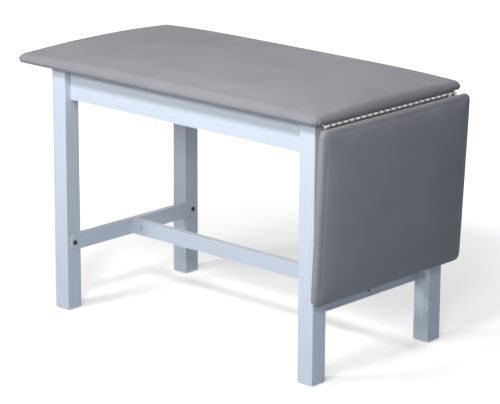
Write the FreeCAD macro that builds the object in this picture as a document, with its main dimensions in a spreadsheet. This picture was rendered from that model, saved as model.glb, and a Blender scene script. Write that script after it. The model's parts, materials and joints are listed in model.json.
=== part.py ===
"""Treatment table: a wooden H-brace frame, a crowned upholstered top and a drop leaf on a continuous hinge.

+X points to the leaf's end, +Y to the back and +Z up. The origin is on the floor under the table's middle.
The leaf's pieces are drawn level, with the hinge axis as their origin, then turned down about it.
"""
import FreeCAD, Part
import math
import os
import re
import Sketcher

V = FreeCAD.Vector
X_AXIS = V(1, 0, 0)
Y_AXIS = V(0, 1, 0)
Z_AXIS = V(0, 0, 1)
SIDES = {"front": -1, "rear": 1}
ENDS = {"left": -1, "right": 1}
# A pad's face falls from its middle by even powers of the distance, so it is flat till near its edges.
CROWN_POWER_ACROSS = 4
MAIN_CROWN_POWER = 8
LEAF_CROWN_POWER = 4

SIZES = {
    # legs and glides
    "frame_height": 744,
    "leg_side": 55,
    "leg_spread_x": 972,
    "leg_spread_y": 508,
    "leg_edge_radius": 2.5,
    "glide_height": 4,
    "glide_radius": 13,
    # aprons, cross rails and stretcher
    "apron_height": 95,
    "apron_thickness": 20,
    "apron_inset": 20,
    "rail_height": 46,
    "rail_thickness": 20,
    "rail_level": 186,
    "rail_inset": 15,
    "rail_housing": 16,
    "rail_corner_radius": 15,
    "stretcher_thickness": 20,
    # bolts, barrel nuts and wood screws
    "bolt_radius": 3,
    "bolt_head_radius": 7,
    "bolt_head_height": 4.5,
    "bolt_bite": 25,
    "stretcher_bolt_bite": 46,
    "hole_clearance": 0.1,
    "barrel_nut_radius": 5,
    "barrel_nut_depth": 35,
    "barrel_nut_recess": 1,
    "screw_radius": 2,
    "screw_bite": 10,
    "screw_head_radius": 4,
    "screw_head_height": 2,
    # corner brackets
    "bracket_thickness": 2.5,
    "bracket_height": 50,
    "bracket_wing": 34,
    "bracket_standoff": 50,
    "hanger_radius": 4,
    "hanger_start": 12,
    "hanger_tail": 6,
    "nut_radius": 7.5,
    "nut_height": 7,
    # angle brackets under the top
    "angle_leg": 30,
    "angle_width": 30,
    "angle_thickness": 2,
    "angle_spread": 520,
    # fixed top
    "overhang_left": 115,
    "overhang_right": 31,
    "overhang_side": 32,
    "board_thickness": 15,
    "vinyl_wrap": 8,
    "pad_edge_depth": 24,
    "pad_corner_radius": 18,
    "pad_edge_radius": 12,
    "pad_lower_radius": 6,
    "pad_crown": 20,
    # drop leaf
    "leaf_length": 490,
    "leaf_crown": 18,
    "leaf_edge_radius": 7,
    "leaf_lean": 2.7,
    # continuous hinge
    "hinge_gap": 4,
    "hinge_end_margin": 32,
    "hinge_leg_gap": 2,
    "hinge_plate_thickness": 1.6,
    "knuckle_radius": 4,
    "knuckle_count": 45,
    "knuckle_gap": 0.4,
    "plate_relief": 0.8,
    "pin_radius": 2,
    "pin_clearance": 0.05,
    "hinge_screw_count": 8,
    # stays that hold the leaf up
    "stay_pivot_back": 55,
    "stay_pivot_down": 130,
    "stay_pin_out": 220,
    "stay_pin_drop": 26,
    "stay_pin_radius": 4,
    "stay_head_radius": 8,
    "stay_head_height": 2.5,
    "stay_layer_gap": 0.4,
    "leg_plate_width": 42,
    "leg_plate_height": 60,
    "leg_plate_lead": 15,
    "leg_plate_thickness": 3,
    "leg_plate_screw_inset": 9,
    "brace_width": 22,
    "brace_thickness": 5,
    "arm_thickness": 3,
    "arm_margin": 9,
    "arm_flange_width": 20,
    "arm_flange_thickness": 2.5,
    "arm_screw_count": 4,
    "slot_clearance": 0.5,
    "slot_notch": 6,
    # rubber bumpers under the hanging leaf
    "bumper_end_margin": 30,
    "bumper_radius": 11,
    "bumper_tip_radius": 9,
    "bumper_gap": 0.6,
}

DERIVED = {
    "leg_length": "frame_height - glide_height",
    "top_length": "overhang_left + leg_spread_x + leg_side + overhang_right",
    "top_width": "leg_spread_y + leg_side + 2 * overhang_side",
    "leaf_depth": "pad_edge_depth + leaf_crown",
    "hinge_drop": "knuckle_radius",
    "leaf_turn": "90 + leaf_lean",
    "leaf_middle": "hinge_gap + leaf_length / 2",
    "leaf_crest": "cbrt(leaf_length * tan(leaf_lean) / (8 * leaf_crown)) * leaf_length / 2",
    "leaf_reach": "(leaf_depth + hinge_drop) * cos(leaf_lean)"
    " - (leaf_middle - 3 / 4 * leaf_crest) * sin(leaf_lean)",
    "frame_x": "(overhang_left - overhang_right - hinge_gap - leaf_reach) / 2",
    "top_x": "frame_x + (overhang_right - overhang_left) / 2",
    "right_face": "frame_x + (leg_spread_x + leg_side) / 2",
    "hinge_x": "right_face + overhang_right + hinge_gap",
    "hinge_z": "frame_height - hinge_drop",
    "hinge_length": "top_width - 2 * hinge_end_margin",
    "hinge_plate_width": "hinge_gap + overhang_right - hinge_leg_gap",
    "knuckle_pitch": "hinge_length / knuckle_count",
    "hinge_screw_across": "(knuckle_radius + hinge_plate_width) / 2",
    "hinge_screw_pitch": "hinge_length / hinge_screw_count",
    "rail_x": "(leg_spread_x - leg_side - rail_thickness) / 2 + rail_housing",
    "rail_z": "rail_level + rail_height / 2",
    "rail_length": "leg_spread_y + leg_side - 2 * rail_inset",
    "stretcher_length": "2 * rail_x - rail_thickness",
    "apron_offset": "leg_side / 2 - apron_inset - apron_thickness / 2",
    "apron_z": "frame_height - apron_height / 2",
    "leg_inner_y": "(leg_spread_y - leg_side) / 2",
    "bracket_wall": "apron_thickness / 2 - apron_offset",
    "bracket_near": "bracket_standoff * sqrt(2) - bracket_wall",
    "bracket_far": "bracket_near + bracket_thickness * (sqrt(2) - 1)",
    "bracket_tip": "bracket_near + bracket_wing",
    "bracket_screw": "bracket_near + bracket_wing / 2",
    "brace_length": "sqrt((stay_pin_out + stay_pivot_back) ^ 2 + (stay_pivot_down - stay_pin_drop) ^ 2)",
    "brace_y": "leg_inner_y - leg_plate_thickness - stay_layer_gap - brace_thickness / 2",
}

os.makedirs("parts", exist_ok=True)
doc = FreeCAD.newDocument("treatment_table")
dims = doc.addObject("Spreadsheet::Sheet", "dims")
cells = list(SIZES.items()) + [(alias, "=" + formula) for alias, formula in DERIVED.items()]
for row, (alias, content) in enumerate(cells, start=1):
    dims.set(f"A{row}", alias)
    dims.setAlias(f"B{row}", alias)
    dims.set(f"B{row}", str(content))
doc.recompute()

nodes = []


def size(alias):
    """A size of the sheet as a number."""
    return float(dims.get(alias))


def ref(expression):
    """The expression with each alias of the sheet written as a reference to it."""
    aliases = sorted(SIZES.keys() | DERIVED.keys())
    return re.sub(rf"\b({'|'.join(aliases)})\b", r"dims.\1", expression)


def number(expression):
    """The value that an expression has now."""
    return float(dims.evalExpression(ref(expression)))


def place(piece, x="0", y="0", z="0"):
    """Ties a piece's place to the sheet."""
    for axis, expression in zip("xyz", (x, y, z)):
        piece.setExpression(f"Placement.Base.{axis}", ref(expression))


def hang(piece):
    """Turns a piece of the leaf, drawn level, down about the hinge axis."""
    piece.Placement = leaf_placement()
    place(piece, "hinge_x", "0", "hinge_z")
    piece.setExpression("Placement.Rotation.Angle", "dims.leaf_turn")


def shift(x, y, z):
    """A placement that moves without a turn."""
    return FreeCAD.Placement(V(x, y, z), FreeCAD.Rotation())


def leaf_placement():
    """The hanging leaf's place, for pieces drawn level about the hinge axis."""
    turned = FreeCAD.Placement(V(0, 0, 0), FreeCAD.Rotation(Y_AXIS, size("leaf_turn")))
    return shift(size("hinge_x"), 0, size("hinge_z")).multiply(turned)


# Bodies with sketches


def new_body(label):
    """A named body, listed as a node."""
    made = doc.addObject("PartDesign::Body", label)
    made.Label = label
    nodes.append(made)
    return made


def new_sketch(owner, role):
    """A sketch on one of the body's own origin planes."""
    made = owner.newObject("Sketcher::SketchObject", owner.Name + "_sketch")
    plane = next(feature for feature in owner.Origin.OriginFeatures if feature.Role == role)
    made.AttachmentSupport = [(plane, "")]
    made.MapMode = "FlatFace"
    return made


def dimension(sketch, kind, expression, *places):
    """A dimension of the sketch, tied to the sheet."""
    index = sketch.addConstraint(Sketcher.Constraint(kind, *places, number(expression)))
    sketch.setExpression(f"Constraints[{index}]", ref(expression))


def draw_rectangle(sketch, width, height):
    """A rectangle about the sketch's origin."""
    half_w = number(width) / 2
    half_h = number(height) / 2
    corners = [V(-half_w, -half_h, 0), V(half_w, -half_h, 0), V(half_w, half_h, 0), V(-half_w, half_h, 0)]
    for start, end in zip(corners, corners[1:] + corners[:1]):
        sketch.addGeometry(Part.LineSegment(start, end), False)
    for line in range(4):
        sketch.addConstraint(Sketcher.Constraint("Coincident", line, 2, (line + 1) % 4, 1))
    for line in range(4):
        sketch.addConstraint(Sketcher.Constraint("Vertical" if line % 2 else "Horizontal", line))
    sketch.addConstraint(Sketcher.Constraint("Symmetric", 0, 1, 1, 2, -1, 1))
    dimension(sketch, "DistanceX", width, 0, 1, 0, 2)
    dimension(sketch, "DistanceY", height, 1, 1, 1, 2)


def draw_outline(sketch, corners):
    """A closed outline of straight lines, with each corner tied to the sheet."""
    points = [V(number(x), number(y), 0) for x, y in corners]
    for start, end in zip(points, points[1:] + points[:1]):
        sketch.addGeometry(Part.LineSegment(start, end), False)
    for line, (x, y) in enumerate(corners):
        sketch.addConstraint(Sketcher.Constraint("Coincident", line, 2, (line + 1) % len(corners), 1))
        dimension(sketch, "DistanceX", x, -1, 1, line, 1)
        dimension(sketch, "DistanceY", y, -1, 1, line, 1)


def draw_circle(sketch, radius, x="0", y="0"):
    """A circle at a point of the sketch."""
    centre = V(number(x), number(y), 0)
    index = sketch.addGeometry(Part.Circle(centre, Z_AXIS, number(radius)), False)
    dimension(sketch, "Radius", radius, index)
    dimension(sketch, "DistanceX", x, -1, 1, index, 3)
    dimension(sketch, "DistanceY", y, -1, 1, index, 3)


def add_pad(owner, sketch, length, both_ways=True, backwards=False):
    """Pads a sketch to both sides of its plane, or to one side along or against its normal."""
    made = owner.newObject("PartDesign::Pad", owner.Name + "_pad")
    made.Profile = sketch
    made.SideType = "Symmetric" if both_ways else "One side"
    made.Reversed = backwards
    made.setExpression("Length", ref(length))
    sketch.Visibility = False
    doc.recompute()
    return made


def add_pocket(owner, sketch, depth=None, forwards=False):
    """Cuts a sketch through the body both ways, or to a depth against or along its normal."""
    before = owner.Shape.Volume
    made = owner.newObject("PartDesign::Pocket", owner.Name + "_pocket")
    made.Profile = sketch
    if depth is None:
        made.SideType = "Symmetric"
        made.Type = "ThroughAll"
    else:
        made.Reversed = forwards
        made.setExpression("Length", ref(depth))
    doc.recompute()
    if owner.Shape.Volume >= before:
        raise RuntimeError(f"{owner.Label}: a pocket cut nothing")
    return made


def add_row(owner, original, count, pitch):
    """Repeats a feature along the body's Y axis."""
    made = owner.newObject("PartDesign::LinearPattern", owner.Name + "_row")
    made.Originals = [original]
    made.Direction = (next(axis for axis in owner.Origin.OriginFeatures if axis.Role == "Y_Axis"), [""])
    made.setExpression("Occurrences", ref(count))
    made.setExpression("Length", ref(f"({count} - 1) * {pitch}"))
    owner.Tip = made
    doc.recompute()
    return made


def edges_along(shape, axis):
    """Names of the straight edges that run along an axis."""
    found = []
    for index, edge in enumerate(shape.Edges, start=1):
        if isinstance(edge.Curve, Part.Line) and abs(edge.Curve.Direction.dot(axis)) > 0.999:
            found.append(f"Edge{index}")
    return found


def round_edges(owner, base, axis, radius):
    """Rounds all the edges along an axis."""
    made = owner.newObject("PartDesign::Fillet", owner.Name + "_fillet")
    made.Base = (base, edges_along(base.Shape, axis))
    made.setExpression("Radius", ref(radius))
    doc.recompute()
    return made


def make_leg(label, end, side):
    """A square leg with a housing for the rail's end, a hole for its bolt and one for the hanger bolt."""
    leg = new_body(label)
    section = new_sketch(leg, "XY_Plane")
    draw_rectangle(section, "leg_side", "leg_side")
    post = add_pad(leg, section, "leg_length", both_ways=False)
    round_edges(leg, post, Z_AXIS, "leg_edge_radius")
    housing = new_sketch(leg, "YZ_Plane")
    housing.setExpression("AttachmentOffset.Base.z", ref(f"{-end} * (leg_side / 2 - rail_housing)"))
    draw_rail_end(housing, side)
    add_pocket(leg, housing, "rail_housing", forwards=end < 0)
    rail_hole = new_sketch(leg, "YZ_Plane")
    rail_hole.setExpression("AttachmentOffset.Base.z", ref(f"{end} * rail_housing"))
    draw_circle(rail_hole, "bolt_radius + hole_clearance", "0", "rail_z - glide_height")
    add_pocket(leg, rail_hole, "leg_side", forwards=end < 0)
    hanger_hole = new_sketch(leg, "XZ_Plane")
    inwards = math.degrees(math.atan2(-end, side))
    hanger_hole.AttachmentOffset = FreeCAD.Placement(V(0, 0, 0), FreeCAD.Rotation(Y_AXIS, inwards))
    draw_circle(hanger_hole, "hanger_radius + hole_clearance", "0", "apron_z - glide_height")
    add_pocket(leg, hanger_hole, "leg_side", forwards=True)
    place(leg, f"frame_x + {end} * leg_spread_x / 2", f"{side} * leg_spread_y / 2", "glide_height")


def draw_rail_end(sketch, side):
    """The rail's round-cornered end with a little clearance, open past the leg's inner side."""
    tip = number(f"{side} * (leg_side / 2 - rail_inset + hole_clearance)")
    root = -side * size("leg_side")
    middle = number("rail_z - glide_height")
    half = number("rail_height / 2 + hole_clearance")
    radius = size("rail_corner_radius")
    straight = tip - side * radius
    low = middle - half
    high = middle + half
    lower_corner = Part.Circle(V(straight, low + radius, 0), Z_AXIS, radius)
    upper_corner = Part.Circle(V(straight, high - radius, 0), Z_AXIS, radius)
    lower_start, upper_start = (-math.pi / 2, 0) if side > 0 else (math.pi, math.pi / 2)
    sketch.addGeometry(Part.LineSegment(V(root, low, 0), V(straight, low, 0)), False)
    sketch.addGeometry(Part.LineSegment(V(tip, low + radius, 0), V(tip, high - radius, 0)), False)
    sketch.addGeometry(Part.LineSegment(V(straight, high, 0), V(root, high, 0)), False)
    sketch.addGeometry(Part.LineSegment(V(root, high, 0), V(root, low, 0)), False)
    sketch.addGeometry(Part.ArcOfCircle(lower_corner, lower_start, lower_start + math.pi / 2), False)
    sketch.addGeometry(Part.ArcOfCircle(upper_corner, upper_start, upper_start + math.pi / 2), False)
    first, last = (1, 2) if side > 0 else (2, 1)
    sketch.addConstraint(Sketcher.Constraint("Tangent", 0, 2, 4, first))
    sketch.addConstraint(Sketcher.Constraint("Tangent", 4, last, 1, 1))
    sketch.addConstraint(Sketcher.Constraint("Tangent", 1, 2, 5, first))
    sketch.addConstraint(Sketcher.Constraint("Tangent", 5, last, 2, 1))
    sketch.addConstraint(Sketcher.Constraint("Coincident", 2, 2, 3, 1))
    sketch.addConstraint(Sketcher.Constraint("Coincident", 3, 2, 0, 1))
    sketch.addConstraint(Sketcher.Constraint("Equal", 4, 5))
    for line, kind in enumerate(("Horizontal", "Vertical", "Horizontal", "Vertical")):
        sketch.addConstraint(Sketcher.Constraint(kind, line))
    dimension(sketch, "Radius", "rail_corner_radius", 4)
    dimension(sketch, "DistanceX", f"{side} * (leg_side / 2 - rail_inset + hole_clearance)", -1, 1, 1, 1)
    dimension(sketch, "DistanceX", f"{-side} * leg_side", -1, 1, 0, 1)
    dimension(sketch, "DistanceY", "rail_level - glide_height - hole_clearance", -1, 1, 0, 1)
    dimension(sketch, "DistanceY", "rail_height + 2 * hole_clearance", 3, 2, 3, 1)


def make_apron(label, plane, length, x, y):
    """An apron board between two legs."""
    apron = new_body(label)
    face = new_sketch(apron, plane)
    draw_rectangle(face, length, "apron_height")
    add_pad(apron, face, "apron_thickness")
    place(apron, x, y, "apron_z")


def make_cross_rail(label, end):
    """A round-cornered board let into two legs, drilled for its own and the stretcher's bolts."""
    rail = new_body(label)
    face = new_sketch(rail, "YZ_Plane")
    draw_rectangle(face, "rail_length", "rail_height")
    plank = add_pad(rail, face, "rail_thickness")
    round_edges(rail, plank, X_AXIS, "rail_corner_radius")
    holes = new_sketch(rail, "YZ_Plane")
    for across in ("-leg_spread_y / 2", "0", "leg_spread_y / 2"):
        draw_circle(holes, "bolt_radius + hole_clearance", across)
    add_pocket(rail, holes)
    place(rail, f"frame_x + {end} * rail_x", "0", "rail_z")


def make_stretcher():
    """The board on edge between the cross rails, drilled at both ends for a bolt and its barrel nut."""
    stretcher = new_body("stretcher")
    face = new_sketch(stretcher, "XZ_Plane")
    draw_rectangle(face, "stretcher_length", "rail_height")
    add_pad(stretcher, face, "stretcher_thickness")
    nut_holes = new_sketch(stretcher, "XZ_Plane")
    for end in ENDS.values():
        along = f"{end} * (stretcher_length / 2 - barrel_nut_depth)"
        draw_circle(nut_holes, "barrel_nut_radius + hole_clearance", along)
    add_pocket(stretcher, nut_holes)
    for end in ENDS.values():
        end_hole = new_sketch(stretcher, "YZ_Plane")
        end_hole.setExpression("AttachmentOffset.Base.z", ref(f"{end} * stretcher_length / 2"))
        draw_circle(end_hole, "bolt_radius + hole_clearance")
        add_pocket(stretcher, end_hole, "stretcher_bolt_bite + bolt_radius", forwards=end < 0)
    place(stretcher, "frame_x", "0", "rail_z")


def make_board(label, length, x="0", z="0"):
    """The plywood board of a pad, with the middle of its lower face at the given place."""
    board = new_body(label)
    outline = new_sketch(board, "XY_Plane")
    outline.setExpression("AttachmentOffset.Base.x", ref(x))
    outline.setExpression("AttachmentOffset.Base.z", ref(z))
    draw_rectangle(outline, f"{length} - 2 * vinyl_wrap", "top_width - 2 * vinyl_wrap")
    add_pad(board, outline, "board_thickness", both_ways=False)
    return board


def make_hinge_plate(label, first_knuckle):
    """One plate of the continuous hinge, along +X from the hinge axis, with every second knuckle below it."""
    plate = new_body(label)
    clear = "knuckle_radius + plate_relief"
    lower = "knuckle_radius - hinge_plate_thickness"
    strip = new_sketch(plate, "XZ_Plane")
    far = "hinge_plate_width"
    draw_outline(strip, [(clear, lower), (far, lower), (far, "knuckle_radius"), (clear, "knuckle_radius")])
    add_pad(plate, strip, "hinge_length")
    curl = new_sketch(plate, "XZ_Plane")
    from_end = f"({first_knuckle} + 0.5) * knuckle_pitch"
    curl.setExpression("AttachmentOffset.Base.z", ref(f"hinge_length / 2 - {from_end}"))
    draw_curl(curl, number(clear), number(lower))
    dimension(curl, "Radius", "knuckle_radius", 3)
    dimension(curl, "DistanceX", clear, -1, 1, 0, 2)
    dimension(curl, "DistanceY", "hinge_plate_thickness", 1, 2, 1, 1)
    knuckle = add_pad(plate, curl, "knuckle_pitch - knuckle_gap")
    add_row(plate, knuckle, f"floor((knuckle_count - {first_knuckle} + 1) / 2)", "2 * knuckle_pitch")
    bore = new_sketch(plate, "XZ_Plane")
    draw_circle(bore, "pin_radius + pin_clearance")
    add_pocket(plate, bore)
    countersink = new_sketch(plate, "XZ_Plane")
    countersink.setExpression("AttachmentOffset.Base.x", ref("hinge_screw_across"))
    countersink.setExpression("AttachmentOffset.Base.z", ref("(hinge_length - hinge_screw_pitch) / 2"))
    wide = "screw_head_radius + pin_clearance"
    narrow = "screw_radius + pin_clearance"
    tip = f"{lower} + screw_head_height"
    draw_outline(countersink, [("0", lower), (wide, lower), (narrow, tip), ("0", tip)])
    hole = plate.newObject("PartDesign::Groove", label + "_hole")
    hole.Profile = countersink
    hole.ReferenceAxis = (countersink, ["V_Axis"])
    doc.recompute()
    add_row(plate, hole, "hinge_screw_count", "hinge_screw_pitch")
    return plate


def draw_curl(sketch, clear, lower):
    """The section of a knuckle: a round barrel below the plate, and the tab that joins it to the plate."""
    upper = size("knuckle_radius")
    inner = math.sqrt(upper**2 - lower**2)
    corners = [V(0, upper, 0), V(clear, upper, 0), V(clear, lower, 0), V(inner, lower, 0)]
    for start, end in zip(corners, corners[1:]):
        sketch.addGeometry(Part.LineSegment(start, end), False)
    barrel = Part.Circle(V(0, 0, 0), Z_AXIS, upper)
    sketch.addGeometry(Part.ArcOfCircle(barrel, math.pi / 2, 2 * math.pi + math.asin(lower / upper)), False)
    sketch.addConstraint(Sketcher.Constraint("Coincident", 3, 3, -1, 1))
    sketch.addConstraint(Sketcher.Constraint("PointOnObject", 0, 1, -2))
    for first, first_end, second, second_end in ((3, 1, 0, 1), (0, 2, 1, 1), (1, 2, 2, 1), (2, 2, 3, 2)):
        sketch.addConstraint(Sketcher.Constraint("Coincident", first, first_end, second, second_end))
    sketch.addConstraint(Sketcher.Constraint("Horizontal", 0))
    sketch.addConstraint(Sketcher.Constraint("Vertical", 1))
    sketch.addConstraint(Sketcher.Constraint("Horizontal", 2))


def make_corner_bracket(label, x, y, turn):
    """A bent plate across a corner with wings along both aprons, about the leg's middle at bolt height."""
    bracket = new_body(label)
    outline = new_sketch(bracket, "XY_Plane")
    wall = "bracket_wall"
    lined = "bracket_wall + bracket_thickness"
    outer = [("bracket_tip", wall), ("bracket_near", wall), (wall, "bracket_near"), (wall, "bracket_tip")]
    inner = [(lined, "bracket_tip"), (lined, "bracket_far"), ("bracket_far", lined), ("bracket_tip", lined)]
    draw_outline(outline, outer + inner)
    add_pad(bracket, outline, "bracket_height")
    for plane in ("XZ_Plane", "YZ_Plane"):
        screw_hole = new_sketch(bracket, plane)
        draw_circle(screw_hole, "screw_radius + hole_clearance", "bracket_screw")
        add_pocket(bracket, screw_hole)
    bolt_hole = new_sketch(bracket, "XZ_Plane")
    bolt_hole.AttachmentOffset = FreeCAD.Placement(V(0, 0, 0), FreeCAD.Rotation(Y_AXIS, -45))
    draw_circle(bolt_hole, "hanger_radius + hole_clearance")
    add_pocket(bracket, bolt_hole)
    bracket.Placement = FreeCAD.Placement(V(0, 0, 0), FreeCAD.Rotation(Z_AXIS, turn))
    place(bracket, x, y, "apron_z")


def make_leg_plate(label, side):
    """The plate that holds a stay's pivot on a leg's inner face, drawn about the pivot."""
    plate = new_body(label)
    outline = new_sketch(plate, "XZ_Plane")
    near = "leg_plate_lead - leg_plate_width"
    top = "leg_plate_height / 2"
    corners = [(near, f"-{top}"), ("leg_plate_lead", f"-{top}"), ("leg_plate_lead", top), (near, top)]
    draw_outline(outline, corners)
    sheet = add_pad(plate, outline, "leg_plate_thickness", both_ways=False, backwards=side < 0)
    round_edges(plate, sheet, Y_AXIS, "leg_plate_screw_inset")
    holes = new_sketch(plate, "XZ_Plane")
    draw_circle(holes, "stay_pin_radius + pin_clearance")
    for up in (1, -1):
        height = f"{up} * (leg_plate_height / 2 - leg_plate_screw_inset)"
        draw_circle(holes, "screw_radius + hole_clearance", f"{near} + leg_plate_screw_inset", height)
    add_pocket(plate, holes)
    place(plate, "hinge_x - stay_pivot_back", f"{side} * leg_inner_y", "hinge_z - stay_pivot_down")


# Pieces with shapes of their own


def add_node(label, shape, placement=None):
    """A node whose shape is built here from the sheet's sizes."""
    made = doc.addObject("Part::Feature", label)
    made.Label = label
    made.Shape = shape
    if placement:
        made.Placement = placement
    nodes.append(made)
    return made


def moved(shape, x=0, y=0, z=0, turn=0, axis=Z_AXIS):
    """A copy of a shape, turned about an axis through the origin and then moved."""
    copy = shape.copy()
    copy.Placement = FreeCAD.Placement(V(x, y, z), FreeCAD.Rotation(axis, turn)).multiply(copy.Placement)
    return copy


def box(x_span, y_span, z_span):
    """A block between two limits along each axis."""
    spans = [sorted(span) for span in (x_span, y_span, z_span)]
    extents = [high - low for low, high in spans]
    return Part.makeBox(*extents, V(*[low for low, high in spans]))


def fused(shapes):
    """One solid from overlapping ones."""
    return shapes[0].multiFuse(shapes[1:]).removeSplitter()


def bolt(length):
    """A button-head bolt along +X, with its head's seat at the origin."""
    shank = Part.makeCylinder(size("bolt_radius"), length, V(0, 0, 0), X_AXIS)
    head = Part.makeCylinder(size("bolt_head_radius"), size("bolt_head_height"), V(0, 0, 0), -X_AXIS)
    rim = max(head.Edges, key=lambda edge: -edge.BoundBox.XMax)
    head = head.makeFillet(size("bolt_head_height") / 2, [rim])
    return fused([shank, head])


def pan_screw(seat=0):
    """A pan-head screw along +Z, its head under a sheet as thick as the seat, its shank in the wood above."""
    head_z = -seat - size("screw_head_height")
    head = Part.makeCylinder(size("screw_head_radius"), size("screw_head_height"), V(0, 0, head_z))
    shank = Part.makeCylinder(size("screw_radius"), size("screw_bite") + seat, V(0, 0, -seat))
    return fused([head, shank])


def flat_screw():
    """A countersunk screw along +Z with its head's face at the origin."""
    head = Part.makeCone(size("screw_head_radius"), size("screw_radius"), size("screw_head_height"))
    shank = Part.makeCylinder(size("screw_radius"), size("screw_bite"))
    return fused([head, shank])


def board_room(length):
    """The hollow that a board fills in its pad."""
    half_l = length / 2 - size("vinyl_wrap")
    half_w = size("top_width") / 2 - size("vinyl_wrap")
    return box((-half_l, half_l), (-half_w, half_w), (0, size("board_thickness")))


def crown_shares(power):
    """Bezier coefficients of one less an even power of the distance from the middle."""
    return [2 * (index % 2) for index in range(power + 1)]


def crowned_pad(length, crown, edge_radius, power_along):
    """A pad with rounded corners and edges and a crowned face, hollowed for its board, about its middle."""
    edge_depth = size("pad_edge_depth")
    depth = edge_depth + crown
    half_l = length / 2
    half_w = size("top_width") / 2
    block = box((-half_l, half_l), (-half_w, half_w), (0, 2 * depth))
    corners = [edge for edge in block.Edges if abs(edge.tangentAt(edge.FirstParameter).z) > 0.9]
    block = block.makeFillet(size("pad_corner_radius"), corners)
    face = Part.BezierSurface()
    face.increase(power_along, CROWN_POWER_ACROSS)
    for i, along in enumerate(crown_shares(power_along)):
        for j, across in enumerate(crown_shares(CROWN_POWER_ACROSS)):
            x = half_l * (2 * i / power_along - 1)
            y = half_w * (2 * j / CROWN_POWER_ACROSS - 1)
            face.setPole(i + 1, j + 1, V(x, y, edge_depth + crown * along * across))
    below = face.toShape().extrude(V(0, 0, -2 * depth))
    pad = block.common(below)
    top = max(pad.Faces, key=lambda piece: piece.CenterOfMass.z)
    pad = pad.makeFillet(edge_radius, top.Edges)
    bottom = min(pad.Faces, key=lambda piece: piece.CenterOfMass.z)
    pad = pad.makeFillet(size("pad_lower_radius"), bottom.Edges)
    return pad.cut(board_room(length))


def make_pads():
    """The fixed top and the leaf, each a board in its pad."""
    main_board = make_board("main_board", "top_length")
    place(main_board, "top_x", "0", "frame_height")
    main_sizes = [size(alias) for alias in ("top_length", "pad_crown", "pad_edge_radius")]
    main_pad = crowned_pad(*main_sizes, MAIN_CROWN_POWER)
    add_node("main_pad", main_pad, shift(size("top_x"), 0, size("frame_height")))
    leaf_board = make_board("leaf_board", "leaf_length", "leaf_middle", "hinge_drop")
    hang(leaf_board)
    leaf_sizes = [size(alias) for alias in ("leaf_length", "leaf_crown", "leaf_edge_radius")]
    leaf_pad = crowned_pad(*leaf_sizes, LEAF_CROWN_POWER)
    from_axis = shift(size("leaf_middle"), 0, size("hinge_drop"))
    add_node("leaf_pad", leaf_pad, leaf_placement().multiply(from_axis))


def hinge_screw_spots():
    """Points of a hinge plate's lower face where its screws go in."""
    count = int(size("hinge_screw_count"))
    lower = size("knuckle_radius") - size("hinge_plate_thickness")
    rows = [(index - (count - 1) / 2) * size("hinge_screw_pitch") for index in range(count)]
    return [(size("hinge_screw_across"), along, lower) for along in rows]


def make_hinge():
    """The continuous hinge: a plate under the fixed top, one under the leaf, their screws and the pin."""
    about = FreeCAD.Placement(V(0, 0, 0), FreeCAD.Rotation(Z_AXIS, 180))
    fixed_plate = make_hinge_plate("hinge_plate_fixed", 0)
    fixed_plate.Placement = about
    place(fixed_plate, "hinge_x", "0", "hinge_z")
    hang(make_hinge_plate("hinge_plate_leaf", 1))
    screws = Part.makeCompound([moved(flat_screw(), *spot) for spot in hinge_screw_spots()])
    add_node("hinge_screws_fixed", screws, shift(size("hinge_x"), 0, size("hinge_z")).multiply(about))
    add_node("hinge_screws_leaf", screws.copy(), leaf_placement())
    pin = doc.addObject("Part::Cylinder", "hinge_pin")
    pin.Label = "hinge_pin"
    pin.setExpression("Radius", "dims.pin_radius")
    pin.setExpression("Height", "dims.hinge_length")
    pin.Placement = FreeCAD.Placement(V(0, 0, 0), FreeCAD.Rotation(X_AXIS, -90))
    place(pin, "hinge_x", "-hinge_length / 2", "hinge_z")
    nodes.append(pin)


def make_frame_fasteners():
    """Bolts and barrel nuts of the H-brace."""
    rail_bolts = []
    stretcher_bolts = []
    barrel_nuts = []
    rail_bolt = bolt(size("rail_thickness") + size("bolt_bite"))
    stretcher_bolt = bolt(size("rail_thickness") + size("stretcher_bolt_bite"))
    nut_half = size("stretcher_thickness") / 2 - size("barrel_nut_recess")
    nut_radius = size("barrel_nut_radius")
    hole_radius = size("bolt_radius") + size("hole_clearance")
    cross_hole = Part.makeCylinder(hole_radius, 2 * nut_radius, V(-nut_radius, 0, 0), X_AXIS)
    barrel = Part.makeCylinder(nut_radius, 2 * nut_half, V(0, -nut_half, 0), Y_AXIS).cut(cross_hole)
    for end in ENDS.values():
        inner_face = size("frame_x") + end * (size("rail_x") - size("rail_thickness") / 2)
        outer_face = size("frame_x") + end * (size("rail_x") + size("rail_thickness") / 2)
        nut_x = size("frame_x") + end * (size("stretcher_length") / 2 - size("barrel_nut_depth"))
        for side in SIDES.values():
            y = side * size("leg_spread_y") / 2
            rail_bolts.append(moved(rail_bolt, inner_face, y, size("rail_z"), 180 if end < 0 else 0))
        stretcher_bolts.append(moved(stretcher_bolt, outer_face, 0, size("rail_z"), 0 if end < 0 else 180))
        barrel_nuts.append(moved(barrel, nut_x, 0, size("rail_z")))
    add_node("rail_bolts", Part.makeCompound(rail_bolts))
    add_node("stretcher_bolts", Part.makeCompound(stretcher_bolts))
    add_node("barrel_nuts", Part.makeCompound(barrel_nuts))


def leg_places():
    """Each leg's name, its middle as expressions, and how far its inner corner is turned from the first's."""
    turns = {("left", "front"): 0, ("right", "front"): 90, ("right", "rear"): 180, ("left", "rear"): 270}
    for (end, side), turn in turns.items():
        x = f"frame_x + {ENDS[end]} * leg_spread_x / 2"
        y = f"{SIDES[side]} * leg_spread_y / 2"
        yield f"{side}_{end}", x, y, turn


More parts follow.
